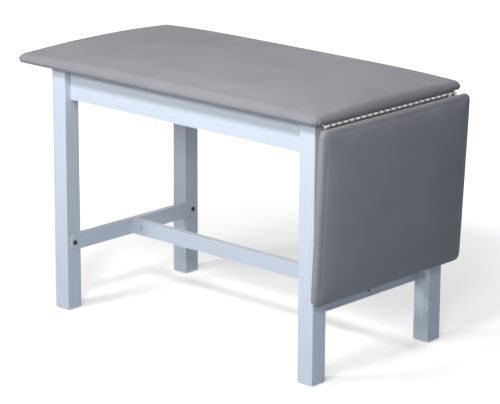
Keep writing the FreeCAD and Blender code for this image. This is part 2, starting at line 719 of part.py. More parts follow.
def make_glides():
    """Round glides with an eased rim, one under each leg."""
    disc = Part.makeCylinder(size("glide_radius"), size("glide_height"))
    rim = min(disc.Edges, key=lambda edge: edge.BoundBox.ZMax)
    disc = disc.makeFillet(size("glide_height") / 3, [rim])
    spots = [(number(x), number(y)) for name, x, y, turn in leg_places()]
    add_node("foot_glides", Part.makeCompound([moved(disc, *spot) for spot in spots]))


def hex_nut():
    """The nut of a hanger bolt, along +Z from its seat."""
    turns = [math.radians(60 * step) for step in range(7)]
    radius = size("nut_radius")
    corners = [V(radius * math.cos(turn), radius * math.sin(turn), 0) for turn in turns]
    body = Part.Face(Part.makePolygon(corners)).extrude(V(0, 0, size("nut_height")))
    return body.cut(Part.makeCylinder(size("hanger_radius") + size("hole_clearance"), size("nut_height")))


def make_corner_brackets():
    """Bent plates that tie each leg to its two aprons, with hanger bolts, nuts and wing screws."""
    diagonal = V(1, 1, 0).normalize()
    nut_start = size("bracket_standoff") + size("bracket_thickness")
    bolt_length = nut_start + size("nut_height") + size("hanger_tail") - size("hanger_start")
    shank = Part.makeCylinder(size("hanger_radius"), bolt_length, diagonal * size("hanger_start"), diagonal)
    nut = hex_nut()
    nut.Placement = FreeCAD.Placement(diagonal * nut_start, FreeCAD.Rotation(Z_AXIS, diagonal))
    screw = pan_screw(size("bracket_thickness"))
    wing_screws = [
        moved(moved(screw, turn=90, axis=X_AXIS), size("bracket_screw"), size("bracket_wall")),
        moved(moved(screw, turn=-90, axis=Y_AXIS), size("bracket_wall"), size("bracket_screw")),
    ]
    groups = {"hanger_bolts": [], "hanger_nuts": [], "bracket_screws": []}
    for name, x, y, turn in leg_places():
        make_corner_bracket(f"corner_bracket_{name}", x, y, turn)
        spot = (number(x), number(y), size("apron_z"), turn)
        groups["hanger_bolts"].append(moved(shank, *spot))
        groups["hanger_nuts"].append(moved(nut, *spot))
        groups["bracket_screws"] += [moved(each, *spot) for each in wing_screws]
    for label, solids in groups.items():
        add_node(label, Part.makeCompound(solids))


def make_top_brackets():
    """Angle brackets with two screws each, which hold the board to the aprons."""
    reach = size("angle_leg")
    sheet = size("angle_thickness")
    half = size("angle_width") / 2
    hole_radius = size("screw_radius") + size("hole_clearance")
    middle = (reach + sheet) / 2
    upright = box((-half, half), (0, sheet), (-reach, 0))
    ledge = box((-half, half), (0, reach), (-sheet, 0))
    holes = [
        Part.makeCylinder(hole_radius, sheet, V(0, middle, -sheet)),
        Part.makeCylinder(hole_radius, sheet, V(0, 0, -middle), Y_AXIS),
    ]
    angle = fused([upright, ledge]).cut(holes)
    screw = pan_screw(sheet)
    pair = [moved(screw, 0, middle, 0), moved(screw, 0, 0, -middle, 90, X_AXIS)]
    along = size("leg_spread_x") / 2 + size("apron_offset") - size("apron_thickness") / 2
    across = size("leg_spread_y") / 2 + size("apron_offset") - size("apron_thickness") / 2
    spots = []
    for end in ENDS.values():
        spots.append((end * along, 0, 90 * end))
        for side in SIDES.values():
            spots.append((end * size("angle_spread") / 2, side * across, 90 + 90 * side))
    placed = [(size("frame_x") + x, y, size("frame_height"), turn) for x, y, turn in spots]
    add_node("top_brackets", Part.makeCompound([moved(angle, *spot) for spot in placed]))
    add_node("top_screws", Part.makeCompound([moved(each, *spot) for spot in placed for each in pair]))


# Stays


def stay_pin_path(steps=12):
    """Points of the slide pin's way in the leaf's frame, each with its unit normal away from the board.

    The brace turns in a constant ratio with the leaf, which gives the slot its curve.
    """
    pivot = V(-size("stay_pivot_back"), 0, -size("stay_pivot_down"))
    raised = V(size("stay_pin_out"), 0, -size("stay_pin_drop"))
    arm = raised - pivot
    full_turn = math.radians(size("leaf_turn"))
    brace_turn = math.atan2(arm.x, -arm.z)

    def spot(share):
        swing = share * brace_turn
        seen = pivot + V(math.sin(swing), 0, -math.cos(swing)) * arm.Length
        return FreeCAD.Rotation(Y_AXIS, -math.degrees(full_turn * (1 - share))).multVec(seen)

    tiny = 1e-4
    for step in range(steps + 1):
        share = step / steps
        ahead = (spot(share + tiny) - spot(share - tiny)).normalize()
        yield spot(share), V(ahead.z, 0, -ahead.x)


def smooth_curve(points):
    """An edge along a smooth curve through the points."""
    curve = Part.BSplineCurve()
    curve.interpolate(points)
    return curve.toShape()


def path_band(half_width, thickness):
    """A plate of constant width with round ends along the slide pin's way."""
    rows = list(stay_pin_path())
    upper = [point - normal * half_width for point, normal in rows]
    lower = [point + normal * half_width for point, normal in rows]
    caps = []
    for index, ahead in ((0, -1), (-1, 1)):
        point, normal = rows[index]
        tip = point + V(-normal.z, 0, normal.x) * ahead * half_width
        caps.append(Part.Arc(upper[index], tip, lower[index]).toShape())
    edges = [smooth_curve(upper), smooth_curve(lower)] + caps
    outline = Part.Wire(Part.__sortEdges__(edges))
    return Part.Face(outline).extrude(V(0, thickness, 0))


def stay_arm():
    """The slotted arm: a web with the curved slot and its lock notch, and a flange under the board."""
    rows = list(stay_pin_path())
    web_thickness = size("arm_thickness")
    slot_half = size("stay_pin_radius") + size("slot_clearance")
    level = size("hinge_drop")
    hanging = rows[0][0]
    raised = rows[-1][0]
    curve = smooth_curve([point for point, normal in rows])
    closing = Part.makePolygon([raised, V(raised.x, 0, level), V(hanging.x, 0, level), hanging])
    web = Part.Face(Part.Wire([curve] + closing.Edges)).extrude(V(0, web_thickness, 0))
    band = path_band(slot_half + size("arm_margin"), web_thickness)
    drop = size("arm_flange_thickness")
    flange = box(arm_ends(), (0, size("arm_flange_width")), (level - drop, level))
    notch_top = raised + V(0, 0, size("slot_notch"))
    notch = [
        Part.makeCylinder(slot_half, web_thickness, notch_top, Y_AXIS),
        box((raised.x - slot_half, raised.x + slot_half), (0, web_thickness), (raised.z, notch_top.z)),
    ]
    hole_radius = size("screw_radius") + size("hole_clearance")
    holes = [Part.makeCylinder(hole_radius, drop, V(x, y, z - drop)) for x, y, z in arm_screw_spots()]
    slot = path_band(slot_half, web_thickness)
    return fused([web, band, flange]).cut([slot] + notch + holes)


def arm_ends():
    """Where the arm starts and ends along the leaf."""
    rows = list(stay_pin_path())
    margin = size("stay_pin_radius") + size("slot_clearance") + size("arm_margin")
    return rows[-1][0].x - margin, rows[0][0].x + margin


def arm_screw_spots():
    """Points of the flange's upper face where the arm's screws go through."""
    low, high = arm_ends()
    count = int(size("arm_screw_count"))
    pitch = (high - low) / count
    across = (size("arm_flange_width") + size("arm_thickness")) / 2
    return [(low + (index + 0.5) * pitch, across, size("hinge_drop")) for index in range(count)]


def make_brace(label, side):
    """A flat bar with round ends and a hole at each end, hanging from its pivot at rest."""
    brace = new_body(label)
    bar = new_sketch(brace, "XZ_Plane")
    half = size("brace_width") / 2
    drop = size("brace_length")
    upper_end = Part.Circle(V(0, 0, 0), Z_AXIS, half)
    lower_end = Part.Circle(V(0, -drop, 0), Z_AXIS, half)
    bar.addGeometry(Part.ArcOfCircle(upper_end, 0, math.pi), False)
    bar.addGeometry(Part.LineSegment(V(-half, 0, 0), V(-half, -drop, 0)), False)
    bar.addGeometry(Part.ArcOfCircle(lower_end, math.pi, 2 * math.pi), False)
    bar.addGeometry(Part.LineSegment(V(half, -drop, 0), V(half, 0, 0)), False)
    for first, first_end, second, second_end in ((0, 2, 1, 1), (1, 2, 2, 1), (2, 2, 3, 1), (3, 2, 0, 1)):
        bar.addConstraint(Sketcher.Constraint("Tangent", first, first_end, second, second_end))
    bar.addConstraint(Sketcher.Constraint("Coincident", 0, 3, -1, 1))
    bar.addConstraint(Sketcher.Constraint("PointOnObject", 2, 3, -2))
    dimension(bar, "Radius", "brace_width / 2", 0)
    dimension(bar, "DistanceY", "brace_length", 2, 3, 0, 3)
    add_pad(brace, bar, "brace_thickness")
    holes = new_sketch(brace, "XZ_Plane")
    draw_circle(holes, "stay_pin_radius + pin_clearance")
    draw_circle(holes, "stay_pin_radius + pin_clearance", "0", "-brace_length")
    add_pocket(brace, holes)
    place(brace, "hinge_x - stay_pivot_back", f"{side} * brace_y", "hinge_z - stay_pivot_down")


def headed_pin(length):
    """A pin along +Y from the origin, with its head past the given length."""
    shank = Part.makeCylinder(size("stay_pin_radius"), length, V(0, 0, 0), Y_AXIS)
    head = Part.makeCylinder(size("stay_head_radius"), size("stay_head_height"), V(0, length, 0), Y_AXIS)
    rim = max(head.Edges, key=lambda edge: edge.BoundBox.YMin)
    head = head.makeFillet(size("stay_head_height") / 2, [rim])
    return fused([shank, head])


def leg_plate_screw_spots():
    """Screw places of a leg plate, clear of the brace's swing."""
    across = size("leg_plate_lead") - size("leg_plate_width") + size("leg_plate_screw_inset")
    down = size("leg_plate_height") / 2 - size("leg_plate_screw_inset")
    return [(across, down), (across, -down)]


def facing(shape, side):
    """A shape drawn for the front side, mirrored for the rear one."""
    return shape if side < 0 else shape.mirror(V(0, 0, 0), Y_AXIS)


def make_stays():
    """Both stays: leg plate with its pivot, brace, slide pin, and the slotted arm under the leaf."""
    plate_thick = size("leg_plate_thickness")
    bar_thick = size("brace_thickness")
    gap = size("stay_layer_gap")
    pivot_x = size("hinge_x") - size("stay_pivot_back")
    pivot_z = size("hinge_z") - size("stay_pivot_down")
    plate_screw = moved(pan_screw(plate_thick), turn=90, axis=X_AXIS)
    plate_screws = Part.makeCompound([moved(plate_screw, x, 0, z) for x, z in leg_plate_screw_spots()])
    pivot_pin = headed_pin(plate_thick + bar_thick + 2 * gap)
    slide_pin = headed_pin(bar_thick + size("arm_thickness") + 2 * gap)
    arm = stay_arm()
    arm_screw = pan_screw(size("arm_flange_thickness"))
    arm_screws = Part.makeCompound([moved(arm_screw, *spot) for spot in arm_screw_spots()])
    leg_screws = []
    leaf_screws = []
    pivots = []
    for name, side in SIDES.items():
        wall = side * size("leg_inner_y")
        bar_y = wall - side * (plate_thick + gap)
        web_y = bar_y - side * (bar_thick + gap)
        make_brace(f"stay_brace_{name}", side)
        make_leg_plate(f"stay_plate_{name}", side)
        pin_z = pivot_z - size("brace_length")
        add_node(f"slide_pin_{name}", moved(facing(slide_pin, side), pivot_x, bar_y, pin_z))
        add_node(f"stay_arm_{name}", facing(arm, side), leaf_placement().multiply(shift(0, web_y, 0)))
        leg_screws.append(moved(facing(plate_screws, side), pivot_x, wall, pivot_z))
        leaf_screws.append(moved(facing(arm_screws, side), 0, web_y))
        pivots.append(moved(facing(pivot_pin, side), pivot_x, wall, pivot_z))
    add_node("stay_plate_screws", Part.makeCompound(leg_screws))
    add_node("stay_arm_screws", Part.makeCompound(leaf_screws), leaf_placement())
    add_node("stay_pivots", Part.makeCompound(pivots))


def make_bumpers():
    """Rubber bumpers on the outer faces of the right legs, just short of the hanging leaf's board."""
    lean = math.radians(size("leaf_lean"))
    down = size("hinge_gap") + size("leaf_length") - size("bumper_end_margin")
    board_x = size("hinge_x") + size("hinge_drop") / math.cos(lean) - down * math.tan(lean)
    height = board_x - size("right_face") - size("bumper_gap")
    cone = Part.makeCone(size("bumper_radius"), size("bumper_tip_radius"), height, V(0, 0, 0), X_AXIS)
    rim = max(cone.Edges, key=lambda edge: edge.BoundBox.XMin)
    cone = cone.makeFillet(size("bumper_radius") - size("bumper_tip_radius"), [rim])
    level = size("hinge_z") - down
    spots = [(size("right_face"), side * size("leg_spread_y") / 2, level) for side in SIDES.values()]
    add_node("leaf_bumpers", Part.makeCompound([moved(cone, *spot) for spot in spots]))


def make_frame():
    """Legs, aprons, cross rails and stretcher."""
    for end_name, end in ENDS.items():
        for side_name, side in SIDES.items():
            make_leg(f"leg_{side_name}_{end_name}", end, side)
    for side_name, side in SIDES.items():
        across = f"{side} * (leg_spread_y / 2 + apron_offset)"
        make_apron(f"apron_{side_name}", "XZ_Plane", "leg_spread_x - leg_side", "frame_x", across)
    for end_name, end in ENDS.items():
        along = f"frame_x + {end} * (leg_spread_x / 2 + apron_offset)"
        make_apron(f"apron_{end_name}", "YZ_Plane", "leg_spread_y - leg_side", along, "0")
        make_cross_rail(f"cross_rail_{end_name}", end)
    make_stretcher()


make_frame()
make_frame_fasteners()
make_glides()
make_corner_brackets()
make_top_brackets()
make_pads()
make_hinge()
make_stays()
make_bumpers()
doc.recompute()

for made in doc.Objects:
    if "Invalid" in made.State or "Error" in made.State:
        raise RuntimeError(f"{made.Label} failed: {made.State}")
for node in nodes:
    if node.Shape.isNull() or not node.Shape.isValid() or node.Shape.Volume <= 0:
        raise RuntimeError(f"{node.Label} has no valid shape")
for node in nodes:
    node.Shape.exportStep(f"parts/{node.Label}.step")
print(len(nodes), "nodes written")
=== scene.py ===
"""Looks of a treatment table with a drop leaf: pads, materials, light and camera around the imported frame."""

import json
import math

import bmesh
import bpy
import numpy as np
from mathutils import Matrix, Vector


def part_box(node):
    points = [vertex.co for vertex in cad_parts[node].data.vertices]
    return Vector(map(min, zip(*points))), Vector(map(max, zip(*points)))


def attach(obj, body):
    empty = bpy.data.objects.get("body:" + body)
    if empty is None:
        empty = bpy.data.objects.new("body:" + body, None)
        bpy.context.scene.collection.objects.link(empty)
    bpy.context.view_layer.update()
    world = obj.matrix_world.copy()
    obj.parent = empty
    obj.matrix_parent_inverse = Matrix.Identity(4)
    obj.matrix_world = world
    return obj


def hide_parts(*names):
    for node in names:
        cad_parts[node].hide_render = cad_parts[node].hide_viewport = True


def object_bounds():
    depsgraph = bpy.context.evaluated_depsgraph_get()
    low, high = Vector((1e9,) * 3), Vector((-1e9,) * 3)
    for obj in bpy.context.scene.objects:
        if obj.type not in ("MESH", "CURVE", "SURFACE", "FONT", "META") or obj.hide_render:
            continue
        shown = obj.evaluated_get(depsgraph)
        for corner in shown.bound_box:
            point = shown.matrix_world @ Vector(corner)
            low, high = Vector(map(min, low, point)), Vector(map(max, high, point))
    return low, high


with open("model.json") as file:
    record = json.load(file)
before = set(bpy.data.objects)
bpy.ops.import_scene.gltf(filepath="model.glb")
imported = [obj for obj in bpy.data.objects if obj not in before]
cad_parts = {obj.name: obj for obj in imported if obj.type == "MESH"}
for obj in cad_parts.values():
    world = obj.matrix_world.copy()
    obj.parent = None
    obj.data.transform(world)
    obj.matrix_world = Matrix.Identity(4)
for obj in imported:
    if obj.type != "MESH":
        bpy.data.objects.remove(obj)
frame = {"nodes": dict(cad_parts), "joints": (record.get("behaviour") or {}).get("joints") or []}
cad_low, cad_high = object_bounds()

# The pads, in metres: how far each face crowns and lifts, how far its edge is rolled in, the share of
# the edge's depth that the roll takes up, and how far the sides lean out
MAIN_SHAPE = {"crown": 0.020, "power": 8, "lift": 0.008, "edge": 0.015, "roll": 0.85, "lean": 0.0025}
LEAF_SHAPE = {"crown": 0.018, "power": 4, "lift": 0.001, "edge": 0.007, "roll": 0.45, "lean": 0.0045}
POWER_ACROSS = 4
LIFT_POWER_ALONG = 4
LIFT_POWER_ACROSS = 2
PAD_CORNER = 0.018
PAD_LOWER_EDGE = 0.005
BOARD_DEPTH = 0.015
BOARD_ROOM = 0.0003
PAD_CELL = 0.012
CORNER_CELLS = 3
ROLL_STEPS = 7
SIDE_STEPS = 3
LOWER_STEPS = 3

# The cloth that swells each pad, which starts a little sunk and tucked in
START_SINK = 0.004
START_TUCK = 0.0006
SWELL_WIDTH = 0.09
CLOTH_SETTINGS = {
    "quality": 6,
    "mass": 0.4,
    "tension_stiffness": 40,
    "compression_stiffness": 40,
    "shear_stiffness": 20,
    "bending_stiffness": 4,
    "use_pressure": True,
    "uniform_pressure_force": 4.0,
}
CLOTH_FRAMES = 20
MOST_SWELL = 0.005
EVEN_PASSES = 6

# The pleats at the pads' corners, in metres
PLEAT_REACH = 0.045
PLEAT_PLACES = (-0.0075, 0.0075)
PLEAT_DEPTH = 0.0024
PLEAT_WIDTH = 0.0019
PLEAT_RIDGE = 0.0013

# The pleats' ridges in pleat widths, and where the pleats fade: by shares of the corner's radius outwards,
# by metres downwards, and by a share of the lower edge at the bottom
RIDGE_ASIDE = 2.1
RIDGE_WIDTH = 1.5
FADE_OUT_FROM = 0.45
FADE_OUT_OVER = 0.4
FADE_DOWN_FROM = 0.001
FADE_DOWN_OVER = 0.016
FADE_DOWN_POWER = 1.5
PLEAT_BOTTOM = 0.2

# The camera, found from the photographed legs, rails and pads
CAMERA_PLACE = (4.5349, -4.8985, 2.2426)
CAMERA_YAW = 42.525
CAMERA_PITCH = 15.691
CAMERA_ROLL = 0.293
CAMERA_LENS = 170.4
CAMERA_CLIP = 100
SENSOR_WIDTH = 36.0

# Colours, linear
VINYL = (0.287, 0.284, 0.305)
PAINT = (0.585, 0.63, 0.716)
PLYWOOD = (0.50, 0.36, 0.215)
OXIDE = (0.022, 0.022, 0.025)
THIN_OXIDE = (0.05, 0.046, 0.043)
BRIGHT_PLATE = (0.60, 0.595, 0.58)
# Painted shade: a darker copy of the bright plate for the leaf's hinge plate, so its knuckles read as dark
# gaps between the fixed plate's
PLATE_PAINTED_SHADE = (0.24, 0.24, 0.235)
ZINC_PLATE = (0.56, 0.57, 0.58)
NYLON = (0.03, 0.03, 0.033)
RUBBER = (0.022, 0.022, 0.022)
WHITE = (1.0, 1.0, 1.0)
WARM = (1.0, 0.98, 0.95)
COOL = (0.98, 0.99, 1.0)

# Textures: how they are stretched, and the sizes of the paint's worn edges and of the plywood's rings
PAINT_STRETCHES = {"x": (5.0, 170.0, 170.0), "y": (170.0, 5.0, 170.0), "z": (170.0, 170.0, 5.0)}
FIGURE_STRETCH = (1.2, 9.0, 9.0)
PORE_STRETCH = (14.0, 420.0, 420.0)
HINGE_STRETCH = (900.0, 60.0, 900.0)
ZINC_STRETCH = (700.0, 700.0, 90.0)
WORN_EDGE = 0.0035
RING_WIDTH = 0.075

# The stage and its soft boxes, each with its place, size, power and colour
AMBIENT = 0.12
AMBIENT_COLOUR = (0.62, 0.84, 1.0)
FLOOR_REACH = 30.0
FLOOR_BOUNCE = (0.45, 0.50, 0.56)
FLOOR_MATT = (0.92, 0.915, 0.905)
FLOOR_EVEN = 0.38
FLOOR_EVEN_FROM = 0.7
FLOOR_EVEN_TO = 2.2
FLOOR_SHADE = (1.0, 0.97, 0.95)
LIGHT_AIM = (0.0, 0.0, 0.6)
FRONT_BOX = (0.5, 0.4)
BACK_BOX = (1.6, 1.0)
SOFTBOXES = {
    "front_left": ((-0.9, -2.1, 1.6), FRONT_BOX, 20.0, WARM),
    "front_right": ((1.9, -2.1, 1.6), FRONT_BOX, 23.0, COOL),
    "high_left": ((-0.6, -2.1, 2.6), FRONT_BOX, 21.0, WHITE),
    "high_right": ((0.9, -2.1, 2.6), FRONT_BOX, 38.0, WHITE),
    "back": ((0.5, 1.2, 2.8), BACK_BOX, 19.0, WHITE),
}


def add_node(tree, kind, settings=None, **sockets):
    """A shader node with its settings and its plain inputs."""
    node = tree.nodes.new(kind)
    for key, value in (settings or {}).items():
        setattr(node, key, value)
    for key, value in sockets.items():
        node.inputs[key.replace("_", " ")].default_value = value
    return node


def start_material(name, colour, roughness, metallic=0.0, specular=0.5):
    """A material with its principled shader set."""
    material = bpy.data.materials.new(name)
    material.use_nodes = True
    shader = material.node_tree.nodes["Principled BSDF"]
    shader.inputs["Base Color"].default_value = (*colour, 1)
    shader.inputs["Roughness"].default_value = roughness
    shader.inputs["Metallic"].default_value = metallic
    shader.inputs["Specular IOR Level"].default_value = specular
    return material, material.node_tree, shader


def place_texture(tree, stretch=(1, 1, 1)):
    """Coordinates on the piece itself, stretched."""
    where = add_node(tree, "ShaderNodeTexCoord")
    mapping = add_node(tree, "ShaderNodeMapping", Scale=stretch)
    tree.links.new(where.outputs["Object"], mapping.inputs["Vector"])
    return mapping.outputs["Vector"]


def add_noise(tree, where, scale, detail=2.0, roughness=0.5, distortion=0.0):
    """A noise texture's value."""
    noise = add_node(
        tree, "ShaderNodeTexNoise", Scale=scale, Detail=detail, Roughness=roughness, Distortion=distortion
    )
    tree.links.new(where, noise.inputs["Vector"])
    return noise.outputs["Fac"]


def add_ramp(tree, value, stops):
    """A colour ramp over (place, colour) stops."""
    ramp = add_node(tree, "ShaderNodeValToRGB")
    elements = ramp.color_ramp.elements
    while len(elements) < len(stops):
        elements.new(0.5)
    for element, (place, colour) in zip(elements, stops):
        element.position = place
        element.color = (*colour, 1)
    tree.links.new(value, ramp.inputs["Fac"])
    return ramp.outputs["Color"]


def add_range(tree, value, low, high, start=0.3, end=0.7):
    """A value spread from low to high."""
    spread = add_node(tree, "ShaderNodeMapRange", From_Min=start, From_Max=end, To_Min=low, To_Max=high)
    tree.links.new(value, spread.inputs["Value"])
    return spread.outputs["Result"]


def add_bump(tree, shader, heights):
    """Bumps one on another, each (height, strength, distance)."""
    normal = None
    for height, strength, distance in heights:
        bump = add_node(tree, "ShaderNodeBump", Strength=strength, Distance=distance)
        tree.links.new(height, bump.inputs["Height"])
        if normal:
            tree.links.new(normal, bump.inputs["Normal"])
        normal = bump.outputs["Normal"]
    tree.links.new(normal, shader.inputs["Normal"])


def shade(colour, factor):
    """A colour made lighter or darker."""
    return tuple(min(1.0, part * factor) for part in colour)


def make_vinyl():
    """Satin upholstery vinyl: pebbled grain, faint clouding, a little polish where it is used."""
    material, tree, shader = start_material("vinyl_grain", VINYL, 0.46, specular=0.03)
    where = place_texture(tree)
    cloud = add_noise(tree, where, scale=6.0, detail=4.0, roughness=0.55)
    tint = add_ramp(tree, cloud, [(0.3, shade(VINYL, 0.93)), (0.55, VINYL), (0.75, shade(VINYL, 1.07))])
    tree.links.new(tint, shader.inputs["Base Color"])
    rub = add_noise(tree, where, scale=11.0, detail=5.0, roughness=0.6)
    tree.links.new(add_range(tree, rub, low=0.42, high=0.54), shader.inputs["Roughness"])
    pebble = add_node(tree, "ShaderNodeTexVoronoi", {"feature": "SMOOTH_F1"}, Scale=620.0, Smoothness=0.6)
    tree.links.new(where, pebble.inputs["Vector"])
    foam = add_noise(tree, where, scale=14.0)
    add_bump(tree, shader, [(foam, 0.25, 0.002), (pebble.outputs["Distance"], 0.22, 0.0004)])
    return material


def make_paint(name, stretch):
    """Satin paint over wood: faint grain along the piece, orange peel, and edges rubbed a little lighter."""
    material, tree, shader = start_material(name, PAINT, 0.38, specular=0.45)
    along = place_texture(tree, stretch)
    grain = add_noise(tree, along, scale=1.0, detail=6.0, roughness=0.62)
    tone = add_ramp(tree, grain, [(0.3, shade(PAINT, 0.96)), (0.5, PAINT), (0.72, shade(PAINT, 1.03))])
    where = place_texture(tree)
    rounded = add_node(tree, "ShaderNodeBevel", {"samples": 4}, Radius=WORN_EDGE)
    flat = add_node(tree, "ShaderNodeNewGeometry")
    turn = add_node(tree, "ShaderNodeVectorMath", {"operation": "DOT_PRODUCT"})
    tree.links.new(rounded.outputs["Normal"], turn.inputs[0])
    tree.links.new(flat.outputs["True Normal"], turn.inputs[1])
    edge = add_range(tree, turn.outputs["Value"], low=1.0, high=0.0, start=0.75, end=0.99)
    speckle = add_noise(tree, where, scale=90.0, detail=6.0, roughness=0.7)
    chips = add_range(tree, speckle, low=0.0, high=0.6, start=0.45, end=0.75)
    worn = add_node(tree, "ShaderNodeMath", {"operation": "MULTIPLY"})
    tree.links.new(edge, worn.inputs[0])
    tree.links.new(chips, worn.inputs[1])
    rubbed = add_node(tree, "ShaderNodeMix", {"data_type": "RGBA"})
    rubbed.inputs["B"].default_value = (*shade(PAINT, 1.22), 1)
    tree.links.new(worn.outputs["Value"], rubbed.inputs["Factor"])
    tree.links.new(tone, rubbed.inputs["A"])
    tree.links.new(rubbed.outputs["Result"], shader.inputs["Base Color"])
    tree.links.new(add_range(tree, grain, low=0.33, high=0.45), shader.inputs["Roughness"])
    peel = add_noise(tree, where, scale=420.0)
    add_bump(tree, shader, [(grain, 0.10, 0.0004), (peel, 0.06, 0.0003)])
    return material


def make_plywood():
    """Bare rotary-cut plywood: long grain, broad figure, small dark pores."""
    material, tree, shader = start_material("plywood_veneer", PLYWOOD, 0.6, specular=0.35)
    broad = place_texture(tree, FIGURE_STRETCH)
    figure = add_noise(tree, broad, scale=1.5, detail=3.0, distortion=1.2)
    rings = add_node(tree, "ShaderNodeMath", {"operation": "PINGPONG"})
    rings.inputs[1].default_value = RING_WIDTH
    tree.links.new(figure, rings.inputs[0])
    bands = add_range(tree, rings.outputs["Value"], low=0.0, high=1.0, start=0.0, end=RING_WIDTH)
    tint = add_ramp(tree, bands, [(0.0, shade(PLYWOOD, 0.82)), (0.5, PLYWOOD), (1.0, shade(PLYWOOD, 1.12))])
    fine = add_noise(tree, place_texture(tree, PORE_STRETCH), scale=1.0, detail=4.0, roughness=0.6)
    pores = add_range(tree, fine, low=0.78, high=1.0, start=0.3, end=0.52)
    mixed = add_node(tree, "ShaderNodeVectorMath", {"operation": "SCALE"})
    tree.links.new(tint, mixed.inputs[0])
    tree.links.new(pores, mixed.inputs["Scale"])
    tree.links.new(mixed.outputs["Vector"], shader.inputs["Base Color"])
    tree.links.new(add_range(tree, fine, low=0.68, high=0.52), shader.inputs["Roughness"])
    add_bump(tree, shader, [(fine, 0.2, 0.0003)])
    return material


def make_metal(name, colour, roughness, stretch):
    """Plated steel: fine drawn lines, cloudy plating and small scratches."""
    material, tree, shader = start_material(name, colour, roughness, metallic=1.0)
    lines = add_noise(tree, place_texture(tree, stretch), scale=1.0, detail=4.0, roughness=0.6)
    cloud = add_noise(tree, place_texture(tree), scale=120.0, detail=4.0, roughness=0.6)
    tint = add_ramp(tree, cloud, [(0.3, shade(colour, 0.82)), (0.5, colour), (0.7, shade(colour, 1.08))])
    tree.links.new(tint, shader.inputs["Base Color"])
    tree.links.new(add_range(tree, lines, roughness - 0.08, roughness + 0.1), shader.inputs["Roughness"])
    add_bump(tree, shader, [(lines, 0.12, 0.0002)])
    return material


def make_plain(name, colour, roughness, grain, strength):
    """Moulded plastic or rubber: a fine moulded texture and a slightly uneven gloss."""
    material, tree, shader = start_material(name, colour, roughness, specular=0.4)
    where = place_texture(tree)
    speck = add_noise(tree, where, scale=grain, detail=4.0, roughness=0.6)
    tint = add_ramp(tree, speck, [(0.35, shade(colour, 0.85)), (0.65, shade(colour, 1.2))])
    tree.links.new(tint, shader.inputs["Base Color"])
    tree.links.new(add_range(tree, speck, roughness - 0.06, roughness + 0.1), shader.inputs["Roughness"])
    add_bump(tree, shader, [(speck, strength, 0.0003)])
    return material


def make_black_oxide():
    """Black oxide on steel: dark, a little brown where it thins."""
    material, tree, shader = start_material("black_oxide", OXIDE, 0.38, metallic=0.55)
    thin = add_noise(tree, place_texture(tree), scale=260.0, detail=4.0, roughness=0.6)
    tint = add_ramp(tree, thin, [(0.35, OXIDE), (0.75, THIN_OXIDE)])
    tree.links.new(tint, shader.inputs["Base Color"])
    tree.links.new(add_range(tree, thin, low=0.3, high=0.5), shader.inputs["Roughness"])
    add_bump(tree, shader, [(thin, 0.1, 0.0002)])
    return material


def paint_direction(node):
    """The axis along a frame piece's longest side, which its grain follows."""
    low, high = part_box(node)
    sides = high - low
    longest = max(range(3), key=lambda axis: sides[axis])
    return "xyz"[longest]


def dress_nodes(vinyl):
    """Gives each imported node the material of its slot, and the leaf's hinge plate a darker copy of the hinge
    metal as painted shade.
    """
    paints = {axis: make_paint("satin_paint_" + axis, stretch) for axis, stretch in PAINT_STRETCHES.items()}
    finishes = {
        "vinyl": vinyl,
        "plywood": make_plywood(),
        "black_bolts": make_black_oxide(),
        "hinge_metal": make_metal("bright_plate", BRIGHT_PLATE, 0.4, HINGE_STRETCH),
        # Painted shade: the same metal as the fixed plate, darkened to stand for the dark gaps between the
        # knuckles
        "hinge_plate_leaf": make_metal("hinge_plate_painted_shade", PLATE_PAINTED_SHADE, 0.5, HINGE_STRETCH),
        "zinc": make_metal("zinc_plate", ZINC_PLATE, 0.36, ZINC_STRETCH),
        "glide": make_plain("nylon", NYLON, 0.5, grain=500.0, strength=0.12),
        "rubber": make_plain("black_rubber", RUBBER, 0.72, grain=800.0, strength=0.25),
    }
    for name, node in frame["nodes"].items():
        for slot in node.material_slots:
            kind = slot.material.name.split(".")[0]
            if kind == "painted_wood":
                slot.material = paints[paint_direction(name)]
            else:
                slot.material = finishes.get(name) or finishes[kind]


def grid_lines(half, radius):
    """Places of the pad's grid lines along one side, closer at its rounded corners."""
    inner = half - radius
    count = round(2 * inner / PAD_CELL)
    rim = inner + radius * np.arange(1, CORNER_CELLS + 1) / CORNER_CELLS
    return np.concatenate([-rim[::-1], np.linspace(-inner, inner, count + 1), rim])


def round_corners(x, y, half_l, half_w, radius):
    """Points of a rectangle's grid drawn in to a rectangle with rounded corners."""
    in_l = half_l - radius
    in_w = half_w - radius
    a = np.clip((np.abs(x) - in_l) / radius, 0, 1)
    b = np.clip((np.abs(y) - in_w) / radius, 0, 1)
    round_x = np.sign(x) * (np.minimum(np.abs(x), in_l) + radius * a * np.sqrt(1 - b * b / 2))
    round_y = np.sign(y) * (np.minimum(np.abs(y), in_w) + radius * b * np.sqrt(1 - a * a / 2))
    return round_x, round_y


class Pad:
    """The sizes of one pad, whose sides lean out as they rise, and the face over its own middle."""

    def __init__(self, length, width, depth, crown, power, lift, edge, roll, lean):
        self.half_l = length / 2
        self.half_w = width / 2
        self.edge_depth = depth - crown
        self.crown = crown
        self.power = power
        self.lift = lift
        self.edge = edge
        self.roll = roll
        self.lean = lean

    def near_edge(self, x, y, width):
        """From 0 on the open face to 1 at the pad's edge."""
        near_l = np.clip(1 - (self.half_l - np.abs(x)) / width, 0, 1)
        near_w = np.clip(1 - (self.half_w - np.abs(y)) / width, 0, 1)
        return 1 - (1 - near_l**2) * (1 - near_w**2)

    def face(self, x, y):
        """Height of the face: flat till near its edges, and drawn down at its corners."""
        along = x / self.half_l
        across = y / self.half_w
        crown = self.crown * (1 - along**self.power) * (1 - across**POWER_ACROSS)
        lift = self.lift * (1 - along**LIFT_POWER_ALONG * across**LIFT_POWER_ACROSS)
        return self.edge_depth + crown + lift

    def sunk(self, x, y, sink):
        """Height of the face before it swells: lower where it is open."""
        return self.face(x, y) - sink * (1 - self.near_edge(x, y, SWELL_WIDTH))


